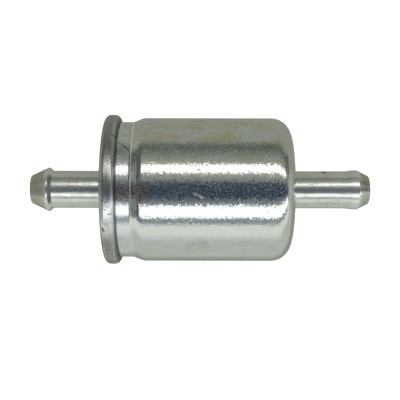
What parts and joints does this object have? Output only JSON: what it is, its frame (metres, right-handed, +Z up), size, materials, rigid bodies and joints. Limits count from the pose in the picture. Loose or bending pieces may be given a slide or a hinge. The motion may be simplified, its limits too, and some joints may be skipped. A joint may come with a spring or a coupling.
{
  "type": "fuel filter",
  "caption": "In-line metal fuel filter: plated steel can with a rolled end seam, a reduced neck, and a beaded hose spigot on its axis at each end.",
  "frame": {"origin": "on the filter's axis, half way between the two spigot tips", "axes": "+X along the flow, from the inlet spigot on the seamed side to the outlet spigot; +Z up"},
  "size_m": [0.072, 0.0318, 0.0318],
  "materials": {
    "plated_can": "bright zinc plate",
    "plated_cover": "worn zinc plate, satin from rolling",
    "plated_inlet_spigot": "zinc plate over turned steel",
    "plated_outlet_spigot": "zinc plate over turned steel",
    "sealing_compound": "matte",
    "braze": "dull, plated over",
    "tinned_caps": "satin tinplate",
    "potting": "matte plastisol",
    "filter_paper": "resin-cured paper",
    "perforated_steel": "satin",
    "mesh": "woven nylon",
    "seal_rubber": "matte",
    "spring_steel": "satin"
  },
  "bodies": {
    "root": {"can_shell": "plated_can", "inlet_cover": "plated_cover", "inlet_spigot": "plated_inlet_spigot", "outlet_spigot": "plated_outlet_spigot", "seam_compound": "sealing_compound", "inlet_braze_ring": "braze", "outlet_braze_ring": "braze", "closed_end_cap": "tinned_caps", "open_end_cap": "tinned_caps", "inlet_potting": "potting", "outlet_potting": "potting", "pleated_paper": "filter_paper", "paper_clip": "tinned_caps", "core_tube": "perforated_steel", "core_screen": "mesh", "outer_sleeve": "perforated_steel", "outlet_grommet": "seal_rubber", "centring_star": "spring_steel", "preload_spring": "spring_steel"}
  },
  "joints": []
}
